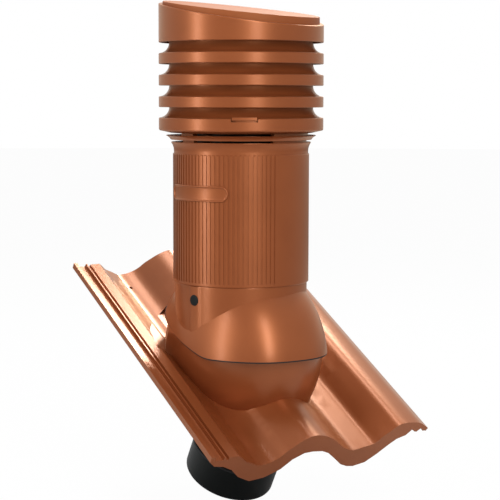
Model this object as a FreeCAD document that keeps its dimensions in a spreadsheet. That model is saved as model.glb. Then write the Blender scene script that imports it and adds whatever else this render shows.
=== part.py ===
import FreeCAD, Part
import math
import os
import Sketcher

# Roof tile vent: an upright louvred vent pipe on a tilting dome, over a roof tile with a moulded bowl seat.
# Millimetres. +Z runs up the pipe, +X across the tile, -Y towards the eave.
# The origin is the centre of the duct spigot's lower mouth, which stands square to the roof.

os.makedirs("parts", exist_ok=True)
doc = FreeCAD.newDocument("roof_tile_vent")
V = FreeCAD.Vector

# Driving dimensions
sizes = {
    # roof and tilt axis
    "roof_pitch": 29.2,
    "pipe_y": -27.3,
    "pivot_x": 6.1,
    "pivot_y": -23.5,
    "pivot_z": 164.1,
    # dome, a body of revolution about the tilt axis
    "dome_half_width": 100.8,
    "dome_radius": 124.3,
    "dome_wall": 3.0,
    "seat_gap": 2.4,
    "rim_level": 195.8,
    "seat_lip_rise": 24.0,
    "neck_radius": 87.1,
    "neck_wall": 3.0,
    "neck_spigot_radius": 85.9,
    "neck_spigot_top": 300.0,
    "ring_bottom": 256.0,
    "ring_top": 262.0,
    "plug_z": 243.4,
    "plug_radius": 6.8,
    "pin_radius": 5.0,
    "pin_play": 0.3,
    # fluted sleeve
    "sleeve_radius": 89.4,
    "sleeve_wall": 2.6,
    "sleeve_bottom": 262.2,
    "sleeve_top": 430.4,
    "flute_depth": 0.8,
    "flute_width": 2.6,
    "flute_pitch": 3.8,
    # inner pipe and insulation
    "pipe_radius": 62.5,
    "pipe_wall": 3.0,
    "pipe_bottom": 259.0,
    "pipe_top": 470.0,
    "foam_radius": 85.6,
    "foam_top": 428.0,
    # cap
    "cap_radius": 107.8,
    "cap_wall": 3.0,
    "hood_bottom": 574.3,
    "hood_slant_z": 617.7,
    "hood_slant": 9.26,
    "lid_radius": 102.4,
    "lid_slant_z": 625.6,
    "lid_slant": 7.37,
    "slant_turn": 17.0,
    "louvre_pitch": 28.0,
    "louvre_height": 13.8,
    "louvre_flare": 13.6,
    "louvre_low_z": 490.5,
    "base_ring_bottom": 460.4,
    "base_ring_top": 476.8,
    # duct and tile
    "duct_radius": 60.3,
    "duct_wall": 2.8,
    "duct_top": 62.0,
    "flange_z": 108.0,
    "tile_back": 293.8,
    "tile_front": -123.7,
    "tile_wall": 4.5,
}
sheet = doc.addObject("Spreadsheet::Sheet", "Sizes")
for row, (name, value) in enumerate(sizes.items(), start=1):
    sheet.set("A%d" % row, name)
    sheet.set("B%d" % row, str(value))
    sheet.setAlias("B%d" % row, name)
doc.recompute()
S = sizes


def on_pipe(obj):
    """Stands an object on the pipe's axis."""
    obj.setExpression("Placement.Base.y", "Sizes.pipe_y")


def plane_of(body, role):
    return [f for f in body.Origin.OriginFeatures if f.Role == role][0]


def new_body(label):
    body = doc.addObject("PartDesign::Body", label)
    body.Label = label
    return body


def outline_sketch(body, role, points, name, bulges=None):
    """A closed outline whose corners are formulas. bulges gives an arc's radius rule and sense by side."""
    bulges = bulges or {}
    sketch = body.newObject("Sketcher::SketchObject", name)
    sketch.AttachmentSupport = (plane_of(body, role), [""])
    sketch.MapMode = "FlatFace"
    spots = [V(number_of(px), number_of(py), 0) for px, py in points]
    total = len(spots)
    arc_flip = {}
    for i in range(total):
        start, end = spots[i], spots[(i + 1) % total]
        if i in bulges:
            rule, sense = bulges[i]
            radius = number_of(rule)
            chord = end - start
            middle = (start + end) * 0.5
            rise = math.sqrt(max(radius ** 2 - (chord.Length / 2) ** 2, 1e-9))
            centre = middle + V(-chord.y, chord.x, 0).normalize() * (sense * rise)
            first = math.atan2(start.y - centre.y, start.x - centre.x)
            last = math.atan2(end.y - centre.y, end.x - centre.x)
            arc_flip[i] = (last - first) % (2 * math.pi) > math.pi
            if arc_flip[i]:
                first, last = last, first
            sketch.addGeometry(Part.ArcOfCircle(Part.Circle(centre, V(0, 0, 1), radius), first, last))
        else:
            sketch.addGeometry(Part.LineSegment(start, end))
    for i in range(total):
        nxt = (i + 1) % total
        end_pos = 1 if arc_flip.get(i) else 2
        start_pos = 2 if arc_flip.get(nxt) else 1
        sketch.addConstraint(Sketcher.Constraint("Coincident", i, end_pos, nxt, start_pos))
    for i, (px, py) in enumerate(points):
        pos = 2 if arc_flip.get(i) else 1
        for axis, rule, value in (("DistanceX", px, spots[i].x), ("DistanceY", py, spots[i].y)):
            number = sketch.addConstraint(Sketcher.Constraint(axis, -1, 1, i, pos, value))
            if isinstance(rule, str):
                sketch.setExpression("Constraints[%d]" % number, rule)
    for i, (rule, sense) in bulges.items():
        number = sketch.addConstraint(Sketcher.Constraint("Radius", i, number_of(rule)))
        if isinstance(rule, str):
            sketch.setExpression("Constraints[%d]" % number, rule)
    return sketch


def number_of(rule):
    """The number that a sheet formula gives, for a first drawing of the outline."""
    if not isinstance(rule, str):
        return float(rule)
    return float(sheet.evalExpression(rule))


def spun(label, points, bulges=None):
    """A body of revolution about the pipe's axis, from radius and height pairs."""
    body = new_body(label)
    sketch = outline_sketch(body, "XZ_Plane", points, label + "_outline", bulges)
    spin = body.newObject("PartDesign::Revolution", label + "_spin")
    spin.Profile = sketch
    spin.ReferenceAxis = (sketch, ["V_Axis"])
    spin.Angle = 360.0
    body.Tip = spin
    on_pipe(body)
    doc.recompute()
    return body


def box(name, length, width, height, at, turn=0.0, about=V(0, 0, 1)):
    item = doc.addObject("Part::Box", name)
    item.Length, item.Width, item.Height = length, width, height
    item.Placement = FreeCAD.Placement(at, FreeCAD.Rotation(about, turn))
    return item


def cylinder(name, radius, height, at=V(0, 0, 0), turn=0.0, about=V(0, 0, 1)):
    item = doc.addObject("Part::Cylinder", name)
    for prop, value in (("Radius", radius), ("Height", height)):
        if isinstance(value, str):
            item.setExpression(prop, value)
        else:
            setattr(item, prop, value)
    item.Placement = FreeCAD.Placement(at, FreeCAD.Rotation(about, turn))
    return item


def fused(name, items):
    item = doc.addObject("Part::MultiFuse", name)
    item.Shapes = items
    return item


def cut(name, base, tool):
    item = doc.addObject("Part::Cut", name)
    item.Base, item.Tool = base, tool
    return item


def common(name, items):
    item = doc.addObject("Part::MultiCommon", name)
    item.Shapes = items
    return item


def polar(centre_radius, azimuth):
    """A point at an azimuth counted from -Y towards +X."""
    a = math.radians(azimuth)
    return V(centre_radius * math.sin(a), -centre_radius * math.cos(a), 0)


nodes = {}

# Solids of revolution about the tilt axis, shared by the dome and the bowl seat


def oval_of_revolution(half_width, radius, power_x, power_r, centre):
    """A rounded drum about an axis along X, its half outline a smooth superellipse."""
    points = []
    steps = 28
    for i in range(steps + 1):
        x = -math.cos(math.pi * i / steps)
        r = max(1 - abs(x) ** power_x, 0.0) ** (1 / power_r)
        points.append(V(x * half_width, 0, r * radius))
    curve = Part.BSplineCurve()
    curve.interpolate(Points=points, InitialTangent=V(0, 0, 1), FinalTangent=V(0, 0, -1))
    wire = Part.Wire([curve.toShape(), Part.makeLine(points[-1], points[0])])
    solid = Part.Face(wire).revolve(V(0, 0, 0), V(1, 0, 0), 360)
    if solid.Volume < 0:
        solid.reverse()
    solid.translate(centre)
    return solid


def half_space(point, normal, size=900.0):
    """A large block on the side of a plane that its normal points to."""
    block = Part.makeBox(size, size, size, V(-size / 2, -size / 2, 0))
    block.Placement = FreeCAD.Placement(point, FreeCAD.Rotation(V(0, 0, 1), normal))
    return block


rim_normal = V(-0.0808, -0.2165, 0.9729)
pivot = V(S["pivot_x"], S["pivot_y"], S["pivot_z"])
pipe_at = V(0, S["pipe_y"], 0)

# Tilting dome, with its neck, inner ring and two pivot ears
dome_outer = oval_of_revolution(S["dome_half_width"], S["dome_radius"], 2.4, 2.0, pivot)
dome_inner = oval_of_revolution(
    S["dome_half_width"] - S["dome_wall"], S["dome_radius"] - S["dome_wall"], 2.4, 2.0, pivot)
above_rim = half_space(rim_normal * S["rim_level"], rim_normal)
neck_bore = S["neck_radius"] - S["neck_wall"]
shell = dome_outer.cut(dome_inner).common(above_rim)
shell = shell.cut(Part.makeCylinder(neck_bore, 300, pipe_at + V(0, 0, 100)))
neck = Part.makeCylinder(S["neck_radius"], S["sleeve_bottom"] - 150, pipe_at + V(0, 0, 150))
neck = neck.fuse(Part.makeCylinder(
    S["neck_spigot_radius"], S["neck_spigot_top"] - 200, pipe_at + V(0, 0, 200)))
neck = neck.cut(Part.makeCylinder(neck_bore, 300, pipe_at + V(0, 0, 100)))
neck = neck.common(above_rim).cut(dome_inner)
ring = Part.makeCylinder(
    neck_bore + 1.0, S["ring_top"] - S["ring_bottom"], pipe_at + V(0, 0, S["ring_bottom"]))
ring = ring.cut(Part.makeCylinder(S["pipe_radius"] - S["pipe_wall"], 20, pipe_at + V(0, 0, 250)))
ring = ring.cut(Part.makeCylinder(S["pipe_radius"] + 0.3, 20, pipe_at + V(0, 0, S["pipe_bottom"])))
ears = []
for side in (-1, 1):
    ear_x = S["pivot_x"] + side * 68.0 - 2.0
    ear_at = V(ear_x, S["pivot_y"], S["pivot_z"])
    ear = Part.makeBox(4.0, 24.0, S["ring_bottom"] - S["pivot_z"] + 1.0, ear_at - V(0, 12.0, 0))
    ear = ear.fuse(Part.makeCylinder(12.0, 4.0, ear_at, V(1, 0, 0)))
    pin_bore = Part.makeCylinder(S["pin_radius"] + S["pin_play"], 8.0, ear_at - V(2, 0, 0), V(1, 0, 0))
    ears.append(ear.cut(pin_bore))
tab_azimuth = -76.0
tab_turn = FreeCAD.Rotation(V(0, 0, 1), tab_azimuth)
tab = Part.makeBox(17.0, 6.0, 45.0, V(-8.5, -3.0, 0))
tab_at = pipe_at + polar(S["neck_radius"] - 2.6, tab_azimuth) + V(0, 0, 217)
tab.Placement = FreeCAD.Placement(tab_at, tab_turn)
tab = tab.common(Part.makeCylinder(S["neck_radius"] + 0.9, 60, pipe_at + V(0, 0, 210)))
tab = tab.cut(Part.makeCylinder(neck_bore, 80, pipe_at + V(0, 0, 200)))
plug_axis = polar(1.0, tab_azimuth)
plug_at = pipe_at + polar(S["neck_radius"] - 8.0, tab_azimuth) + V(0, 0, S["plug_z"])
plug_hole = Part.makeCylinder(S["plug_radius"], 20.0, plug_at, plug_axis)
dome = shell.fuse([neck, ring, tab] + ears).cut(plug_hole).removeSplitter()
item = doc.addObject("Part::Feature", "tilt_dome")
item.Shape = dome
nodes["tilt_dome"] = item

# Locking plug in the neck's tab
plug_body = cylinder("plug_shank", "Sizes.plug_radius - 0.1", 9.6)
plug_socket = doc.addObject("Part::Prism", "plug_socket")
plug_socket.Polygon = 6
plug_socket.Circumradius = 3.4
plug_socket.Height = 5.0
plug_socket.Placement = FreeCAD.Placement(V(0, 0, 6.2), FreeCAD.Rotation())
plug = cut("locking_plug", plug_body, plug_socket)
plug.Placement = FreeCAD.Placement(plug_at, FreeCAD.Rotation(V(0, 0, 1), plug_axis))
nodes["locking_plug"] = plug

# Fluted sleeve
sleeve = new_body("outer_sleeve")
outline = outline_sketch(sleeve, "XZ_Plane", [
    ("Sizes.sleeve_radius - Sizes.sleeve_wall", "Sizes.sleeve_bottom"),
    ("Sizes.sleeve_radius - 0.5", "Sizes.sleeve_bottom"),
    ("Sizes.sleeve_radius", "Sizes.sleeve_bottom + 0.8"),
    ("Sizes.sleeve_radius", "Sizes.sleeve_top - 0.8"),
    ("Sizes.sleeve_radius - 0.5", "Sizes.sleeve_top"),
    ("Sizes.sleeve_radius - Sizes.sleeve_wall", "Sizes.sleeve_top"),
], "sleeve_outline")
spin = sleeve.newObject("PartDesign::Revolution", "sleeve_spin")
spin.Profile = outline
spin.ReferenceAxis = (outline, ["V_Axis"])
spin.Angle = 360.0
groove = sleeve.newObject("Sketcher::SketchObject", "flute_outline")
groove.AttachmentSupport = (plane_of(sleeve, "XZ_Plane"), [""])
groove.MapMode = "FlatFace"
floor = S["sleeve_radius"] - S["flute_depth"]
groove.AttachmentOffset = FreeCAD.Placement(V(0, 0, floor), FreeCAD.Rotation())
half = S["flute_width"] / 2
low = S["sleeve_bottom"] + 5.2
high = S["sleeve_top"] + 2.0
groove.addGeometry(Part.LineSegment(V(-half, low, 0), V(-half, high, 0)))
groove.addGeometry(Part.LineSegment(V(-half, high, 0), V(half, high, 0)))
groove.addGeometry(Part.LineSegment(V(half, high, 0), V(half, low, 0)))
groove.addGeometry(Part.Arc(V(half, low, 0), V(0, low - half, 0), V(-half, low, 0)))
for first, second in ((0, 1), (1, 2)):
    groove.addConstraint(Sketcher.Constraint("Coincident", first, 2, second, 1))
groove.addConstraint(Sketcher.Constraint("Vertical", 0))
groove.addConstraint(Sketcher.Constraint("Horizontal", 1))
groove.addConstraint(Sketcher.Constraint("Vertical", 2))
doc.recompute()
flute = sleeve.newObject("PartDesign::Pocket", "flute")
flute.Profile = groove
flute.Length = 6.0
flute.Reversed = True
flute_count = int(272.0 / S["flute_pitch"])
fan = sleeve.newObject("PartDesign::PolarPattern", "flute_fan")
fan.Originals = [flute]
fan.Axis = (outline, ["V_Axis"])
sleeve.Tip = fan
fan.Angle = flute_count * S["flute_pitch"]
fan.Occurrences = flute_count + 1
fan.Reversed = True
sleeve.Tip = fan
sleeve.Placement = FreeCAD.Placement(pipe_at, FreeCAD.Rotation(V(0, 0, 1), -4.5))
on_pipe(sleeve)
doc.recompute()
nodes["outer_sleeve"] = sleeve

# Inner pipe, insulation and the guard at the pipe's mouth
pipe_bore = "Sizes.pipe_radius - Sizes.pipe_wall"
nodes["inner_pipe"] = spun("inner_pipe", [
    (pipe_bore, "Sizes.pipe_bottom"), ("Sizes.pipe_radius", "Sizes.pipe_bottom"),
    ("Sizes.pipe_radius", "Sizes.pipe_top"), (pipe_bore, "Sizes.pipe_top")])
nodes["insulation_sleeve"] = spun("insulation_sleeve", [
    ("Sizes.pipe_radius", "Sizes.ring_top"), ("Sizes.neck_spigot_radius - 2", "Sizes.ring_top"),
    ("Sizes.neck_spigot_radius - 2", "Sizes.neck_spigot_top"),
    ("Sizes.foam_radius", "Sizes.neck_spigot_top"), ("Sizes.foam_radius", "Sizes.foam_top"),
    ("Sizes.pipe_radius", "Sizes.foam_top")])

# Slotted collar, between the sleeve and the cap
collar = spun("collar_blank", [
    (80.0, 428.4), (86.6, 428.4), (86.6, "Sizes.sleeve_top"), (88.2, "Sizes.sleeve_top"),
    (88.2, 434.0), (91.8, 444.6), (91.4, 445.4), (86.0, 445.4), (86.0, 448.4), (92.4, 448.4),
    (98.4, 453.4), (97.8, 454.2), (88.0, 454.2), (88.0, 457.4), (93.6, 457.4),
    (95.4, "Sizes.base_ring_bottom"), (80.0, "Sizes.base_ring_bottom")],
    {4: (18.0, -1), 9: (10.0, -1)})
slot_tools = []
for number, azimuth in enumerate((-40.7, -129.5, -218.3)):
    for row, level, height in ((0, 445.6, 2.6), (1, 454.4, 2.8)):
        wedge = cylinder("slot_%d_%d" % (number, row), 110.0, height)
        wedge.Angle = 72.6
        wedge.Placement = FreeCAD.Placement(
            V(0, S["pipe_y"], level), FreeCAD.Rotation(V(0, 0, 1), azimuth - 90.0 - 36.3))
        hollow = cylinder("slot_core_%d_%d" % (number, row), 78.0, height + 2, V(0, S["pipe_y"], level - 1))
        slot_tools.append(cut("slot_tool_%d_%d" % (number, row), wedge, hollow))
nodes["slotted_collar"] = cut("slotted_collar", collar, fused("slot_tools", slot_tools))

# Cap base ring with the latch notch, and its latch tab
base_ring = spun("base_ring_blank", [
    (64.0, "Sizes.base_ring_bottom"), (95.4, "Sizes.base_ring_bottom"),
    (95.4, "Sizes.base_ring_bottom - 2.6"),
    ("Sizes.cap_radius - 1.0", "Sizes.base_ring_bottom"),
    ("Sizes.cap_radius", "Sizes.base_ring_bottom + 1.6"),
    ("Sizes.cap_radius", "Sizes.base_ring_top - 0.8"), ("Sizes.cap_radius - 0.8", "Sizes.base_ring_top"),
    ("Sizes.cap_radius - Sizes.louvre_flare", "Sizes.base_ring_top + Sizes.louvre_flare"),
    ("Sizes.cap_radius - Sizes.louvre_flare", "Sizes.base_ring_top + Sizes.louvre_flare + 4"),
    ("Sizes.cap_radius - Sizes.louvre_flare - 2.6", "Sizes.base_ring_top + Sizes.louvre_flare + 4"),
    ("Sizes.cap_radius - Sizes.louvre_flare - 2.6", "Sizes.base_ring_top - 6"),
    (64.0, "Sizes.base_ring_top - 6")],
    {6: ("Sizes.louvre_flare + 0.4", -1)})
notch_at = V(0, S["pipe_y"], 472.4)
notch = cylinder("notch_sector", 112.0, 8.0)
notch.Angle = 18.0
notch.Placement = FreeCAD.Placement(notch_at, FreeCAD.Rotation(V(0, 0, 1), -30.5 - 90.0 - 9.0))
notch_core = cylinder("notch_core", "Sizes.cap_radius - 5", 20.0, notch_at - V(0, 0, 6))
notch_tool = cut("notch_tool", notch, notch_core)
nodes["cap_base_ring"] = cut("cap_base_ring", base_ring, notch_tool)
tab_ring = cylinder("latch_sector", "Sizes.cap_radius + 0.4", 3.6)
tab_ring.Angle = 16.8
tab_ring.Placement = FreeCAD.Placement(
    V(0, S["pipe_y"], 474.8), FreeCAD.Rotation(V(0, 0, 1), -30.5 - 90.0 - 8.4))
tab_foot = cylinder("latch_foot", "Sizes.cap_radius - 2.4", 3.0)
tab_foot.Angle = 12.0
tab_foot.Placement = FreeCAD.Placement(
    V(0, S["pipe_y"], 472.4), FreeCAD.Rotation(V(0, 0, 1), -30.5 - 90.0 - 6.0))
latch_core = cylinder("latch_core", "Sizes.cap_radius - 5", 30.0, V(0, S["pipe_y"], 460.0))
nodes["latch_tab"] = cut("latch_tab", fused("latch_solid", [tab_ring, tab_foot]), latch_core)

# Three louvre rings: each a drip band with a concave neck that runs up inside the next
for number in range(3):
    low_z = "Sizes.louvre_low_z + %d * Sizes.louvre_pitch" % number
    flare = "Sizes.cap_radius - Sizes.louvre_flare"
    top_z = low_z + " + Sizes.louvre_height"
    neck_z = top_z + " + Sizes.louvre_flare"
    ring_body = spun("louvre_ring_%d" % (number + 1), [
        ("Sizes.cap_radius - Sizes.cap_wall", low_z), ("Sizes.cap_radius - 0.8", low_z),
        ("Sizes.cap_radius", low_z + " + 0.8"), ("Sizes.cap_radius", top_z + " - 0.8"),
        ("Sizes.cap_radius - 0.8", top_z), (flare, neck_z), (flare, neck_z + " + 4"),
        (flare + " - 2.6", neck_z + " + 4"), (flare + " - 2.6", neck_z),
        ("Sizes.cap_radius - Sizes.cap_wall", top_z + " - 2.2")],
        {4: ("Sizes.louvre_flare + 0.4", -1), 8: ("Sizes.louvre_flare + 3.0", 1)})
    nodes["louvre_ring_%d" % (number + 1)] = ring_body

# Slanted tops of the hood and the lid
lean_axis = polar(1.0, S["slant_turn"] + 90.0)


def slant_block(name, level, angle):
    """A block above a plane that falls towards the slant's low side."""
    block = doc.addObject("Part::Box", name)
    block.Length, block.Width, block.Height = 400, 400, 120
    turn = FreeCAD.Rotation(lean_axis, angle)
    corner = turn.multVec(V(-200, -200, 0))
    block.Placement = FreeCAD.Placement(V(0, S["pipe_y"], level) + corner, turn)
    return block


hood_wall = cylinder("hood_wall", "Sizes.cap_radius", 90.0, V(0, S["pipe_y"], S["hood_bottom"]))
hood_hollow = cylinder(
    "hood_hollow", "Sizes.cap_radius - Sizes.cap_wall", 92.0, V(0, S["pipe_y"], S["hood_bottom"] - 1))
hood_slope = slant_block("hood_slant_out", S["hood_slant_z"], S["hood_slant"])
hood_skin = cut("hood_skin", hood_wall, hood_slope)
ceiling = slant_block("hood_slant_in", S["hood_slant_z"] - 3.2, S["hood_slant"])
hood_room = cut("hood_room", hood_hollow, ceiling)
hood_shell = cut("hood_shell", hood_skin, hood_room)
lid_wall = cylinder("lid_wall", "Sizes.lid_radius", 90.0, V(0, S["pipe_y"], 590.0))
lid_top = cut("lid_top", lid_wall, slant_block("lid_slant_out", S["lid_slant_z"], S["lid_slant"]))
lid_foot = slant_block("lid_foot", S["hood_slant_z"], S["hood_slant"])
lid_blank = common("lid_blank", [lid_top, lid_foot])
lid_screws = []
lid_holes = []
lean = FreeCAD.Rotation(lean_axis, S["hood_slant"])
for number, azimuth in enumerate((-60.0, 60.0, 180.0)):
    local = polar(88.0, azimuth)
    fall = math.tan(math.radians(S["hood_slant"])) * local.dot(polar(1.0, S["slant_turn"]))
    seat = V(0, S["pipe_y"], S["hood_slant_z"] - fall) + local
    shank = cylinder("lid_shank_%d" % number, 2.0, 8.0)
    shank.Placement = FreeCAD.Placement(seat + lean.multVec(V(0, 0, -3.2)), lean)
    head = cylinder("lid_head_%d" % number, 4.0, 3.0)
    head.Placement = FreeCAD.Placement(seat + lean.multVec(V(0, 0, -6.2)), lean)
    bore = cylinder("lid_bore_%d" % number, 2.0, 8.4)
    bore.Placement = FreeCAD.Placement(seat + lean.multVec(V(0, 0, -3.6)), lean)
    lid_screws.append(fused("lid_screw_%d" % number, [shank, head]))
    lid_holes.append(bore)
lid_bores = fused("lid_bores", lid_holes)
nodes["cap_hood"] = cut("cap_hood", hood_shell, lid_bores)
nodes["cap_lid"] = cut("cap_lid", lid_blank, lid_bores)
nodes["lid_screws"] = doc.addObject("Part::Compound", "lid_screws")
nodes["lid_screws"].Links = lid_screws

# Cap core: a ring on the base ring, eight ribs that carry the louvres, and a top ring
core_parts = [cut(
    "core_foot",
    cylinder("core_foot_out", 91.0, 3.0, V(0, S["pipe_y"], 470.8)),
    cylinder("core_foot_in", 67.6, 5.0, V(0, S["pipe_y"], 469.8)))]
for number in range(8):
    rib = doc.addObject("Part::Box", "core_rib_%d" % number)
    rib.Length, rib.Width, rib.Height = 21.2, 2.6, 106.2
    turn = FreeCAD.Rotation(V(0, 0, 1), 22.5 + 45.0 * number)
    rib.Placement = FreeCAD.Placement(
        V(0, S["pipe_y"], 472.8) + turn.multVec(V(70.2, -1.3, 0)), turn)
    core_parts.append(rib)
core_parts.append(cut(
    "core_top",
    cylinder("core_top_out", 104.6, 3.0, V(0, S["pipe_y"], 578.0)),
    cylinder("core_top_in", 74.0, 5.0, V(0, S["pipe_y"], 577.0))))
nodes["cap_core"] = fused("cap_core", core_parts)

# Rain deflector over the pipe's mouth, and the insect guard round it
nodes["rain_deflector"] = spun("rain_deflector", [
    (70.2, 548.0), (70.2, 552.0), (0.0, 571.0), (0.0, 568.6), (67.8, 548.0)])
guard = spun("guard_blank", [
    (64.6, 470.8), (67.4, 470.8), (67.4, 530.0), (64.6, 530.0)])
guard_slots = []
for row in range(4):
    for number in range(6):
        slot = box("guard_slot_%d_%d" % (row, number), 150.0, 3.0, 9.0, V(0, 0, 0))
        turn = FreeCAD.Rotation(V(0, 0, 1), 30.0 * number)
        slot.Placement = FreeCAD.Placement(
            V(0, S["pipe_y"], 476.0 + 13.0 * row) + turn.multVec(V(-75.0, -1.5, 0)), turn)
        guard_slots.append(slot)
nodes["insect_guard"] = cut("insect_guard", guard, fused("guard_slots", guard_slots))

# Tile, worked in its own frame: X across, Y up the slope, Z square to the roof
pitch = math.radians(S["roof_pitch"])


def to_tile(y, z):
    return (y * math.cos(pitch) + z * math.sin(pitch), -y * math.sin(pitch) + z * math.cos(pitch))


# Cross sections, as X and height square to the roof: the two-ribbed side lock, the double wave
# with its overlap nose, and the lower edge of the skirt along the eave
side_lock = [
    (-140.0, 149.4), (-134.4, 149.0), (-133.0, 142.8), (-121.6, 142.4), (-120.4, 146.7),
    (-118.6, 146.7), (-117.2, 142.4), (-114.4, 142.0), (-113.1, 145.1), (-99.5, 145.5)]
wave = [
    (-99.5, 145.5), (-93.5, 141.0), (-86.2, 134.7), (-75.5, 129.8), (-65.2, 124.6), (-56.4, 124.5),
    (-47.9, 126.3), (-40.1, 129.8), (-32.8, 135.0), (-26.2, 142.0), (-18.9, 147.6), (-11.6, 153.0),
    (-4.0, 157.5), (4.4, 161.0), (12.9, 161.8), (22.8, 159.8), (33.8, 155.4), (45.5, 148.2),
    (60.0, 136.4), (71.7, 129.4), (82.3, 126.9), (91.4, 128.3), (100.4, 130.2), (109.9, 131.9),
    (117.5, 136.7), (124.5, 144.1), (132.1, 149.8), (139.5, 156.6), (147.5, 160.8), (157.1, 161.7),
    (167.6, 160.5), (178.7, 158.1), (187.4, 153.5), (196.9, 147.0)]
skirt_low = [
    (194.4, 142.6), (184.0, 148.0), (178.3, 143.1), (169.4, 148.0), (162.2, 139.9), (148.9, 135.5),
    (138.5, 127.2), (124.0, 113.6), (108.7, 102.0), (90.6, 98.3), (80.3, 99.9), (68.7, 105.0),
    (54.8, 117.0), (41.3, 128.1), (30.1, 133.1), (14.7, 134.9), (1.9, 134.1), (-13.8, 126.1),
    (-27.5, 112.6), (-34.7, 108.9), (-50.0, 102.4), (-70.6, 100.2), (-77.9, 103.7), (-90.4, 110.4),
    (-103.7, 123.6), (-117.5, 131.0), (-132.2, 134.0), (-140.0, 141.4)]


def smooth(points):
    curve = Part.BSplineCurve()
    curve.interpolate([V(x, 0, z) for x, z in points])
    return curve.toShape()


def straight(points):
    return [Part.makeLine(V(a[0], 0, a[1]), V(b[0], 0, b[1])) for a, b in zip(points[:-1], points[1:])]


def drawn(edges, start, length):
    wire = Part.Wire(Part.__sortEdges__(edges))
    face = Part.Face(wire)
    face.translate(V(0, start, 0))
    solid = face.extrude(V(0, length, 0))
    if solid.Volume < 0:
        solid.reverse()
    return solid


wall = S["tile_wall"]
length = S["tile_back"] - S["tile_front"]
left_low = [(-140.0, 141.4), (-116.0, 137.6), (-99.5, 140.6)]
under = [(x, z - wall) for x, z in wave[1:-1]]
under_curve = [(-99.5, 140.6)] + under[:-2] + [(176.0, 149.4)]
tooth_line = [(176.0, 149.4), (175.0, 144.0), (179.0, 144.0), (181.0, 149.0), (187.0, 147.0),
              (189.0, 143.4), (193.5, 143.4), (196.9, 147.0)]
top_edges = straight(side_lock) + [smooth(wave)]
sheet_edges = top_edges + [smooth(under_curve)] + straight(tooth_line)
sheet_edges += straight([(-140.0, 149.4)] + left_low)
plate = drawn(sheet_edges, S["tile_front"], length)
skirt_edges = top_edges + straight([wave[-1]] + skirt_low + [side_lock[0]])
skirt = drawn(skirt_edges, S["tile_front"], 9.0)


def under_tile(low):
    """All the room below the tile's top surface, down to a level."""
    edges = top_edges + straight([wave[-1], (196.9, low), (-140.0, low), (-140.0, 149.4)])
    return drawn(edges, S["tile_front"], length)



# Gutter round the back of the bowl
gutter_x, gutter_y = 5.9, 77.2
gutter_floor = 125.4


def oval_post(half_x, half_y, low_z, height, x=gutter_x, y=gutter_y):
    major, minor = max(half_x, half_y), min(half_x, half_y)
    oval = Part.Ellipse(V(0, 0, 0), major, minor).toShape()
    post = Part.Face(Part.Wire([oval])).extrude(V(0, 0, height))
    if half_y > half_x:
        post.rotate(V(0, 0, 0), V(0, 0, 1), 90)
    post.translate(V(x, y, low_z))
    return post


behind = Part.makeBox(400, 400, 200, V(-200, 96.0, 60))
gutter_room = oval_post(110.0, 133.0, gutter_floor, 60).common(behind)
gutter_block = oval_post(114.0, 137.0, gutter_floor - 4.5, 60).common(
    Part.makeBox(400, 400, 200, V(-200, 92.0, 60))).common(under_tile(120.0))

# Bowl seat: inside the dome it follows the tilt axis, below it narrows to its foot on the tile
seat_wall = 3.0
inset = S["dome_wall"] + S["seat_gap"]
pivot_t = to_tile(S["pivot_y"], S["pivot_z"])
bowl_t = to_tile(1.5, 176.9)
drum_at = V(S["pivot_x"], pivot_t[0], pivot_t[1])
bowl_at = V(14.9, bowl_t[0], bowl_t[1])
drum_out = oval_of_revolution(S["dome_half_width"] - inset, S["dome_radius"] - inset, 2.4, 2.0, drum_at)
drum_in = oval_of_revolution(
    S["dome_half_width"] - inset - seat_wall, S["dome_radius"] - inset - seat_wall, 2.4, 2.0, drum_at)
bowl_out = oval_of_revolution(95.4, 136.6, 2.14, 2.14, bowl_at).common(drum_out)
bowl_in = oval_of_revolution(95.4 - seat_wall, 136.6 - seat_wall, 2.14, 2.14, bowl_at).common(drum_in)
rim_t = V(rim_normal.x, *to_tile(rim_normal.y, rim_normal.z))
over_lip = half_space(rim_t * (S["rim_level"] + S["seat_lip_rise"]), rim_t)
floor_z = S["flange_z"] + 3.0
under_floor = Part.makeBox(600, 600, 300, V(-300, -300, floor_z - 300))
bowl_wall = bowl_out.cut(bowl_in).cut(over_lip).cut(under_floor)
hole = bowl_in.cut(under_floor)
sump_x, sump_y, sump_half_x, sump_half_y = 12.0, 60.0, 72.0, 92.0
sump_flange = oval_post(sump_half_x + 20, sump_half_y + 22, S["flange_z"], 3.0, sump_x, sump_y)
sump_flange = sump_flange.cut(oval_post(sump_half_x, sump_half_y, S["flange_z"] - 1, 5.0, sump_x, sump_y))
sump_wall = oval_post(sump_half_x + 20, sump_half_y + 22, S["flange_z"], 26.0, sump_x, sump_y)
sump_wall = sump_wall.cut(
    oval_post(sump_half_x + 17, sump_half_y + 19, S["flange_z"] - 1, 40.0, sump_x, sump_y))
sump_wall = sump_wall.common(under_tile(90.0))
bosses = []
for side in (-1, 1):
    start = S["pivot_x"] + side * 71.0
    boss = Part.makeCylinder(9.0, 34.0, V(start, pivot_t[0], pivot_t[1]), V(side, 0, 0)).common(bowl_out)
    bosses.append(boss)
plate = plate.fuse([skirt, gutter_block]).cut(gutter_room)
plate = plate.cut(bowl_out).fuse([bowl_wall, sump_flange, sump_wall] + bosses)
plate = plate.cut(hole.cut(bowl_wall).cut(bosses[0]).cut(bosses[1]))
for side in (-1, 1):
    pin_hole = Part.makeCylinder(
        S["pin_radius"], 12.0, V(S["pivot_x"] + side * 70.0, pivot_t[0], pivot_t[1]), V(side, 0, 0))
    plate = plate.cut(pin_hole)
nibs = []
for x in (-62.0, 84.0):
    nib = Part.makeBox(30.0, 8.0, 30.0, V(x - 15.0, S["tile_back"] - 22.0, 98.0))
    nibs.append(nib.common(under_tile(60.0)))
plate = plate.fuse(nibs)
nail_x, nail_y = -59.3, 260.5
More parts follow.
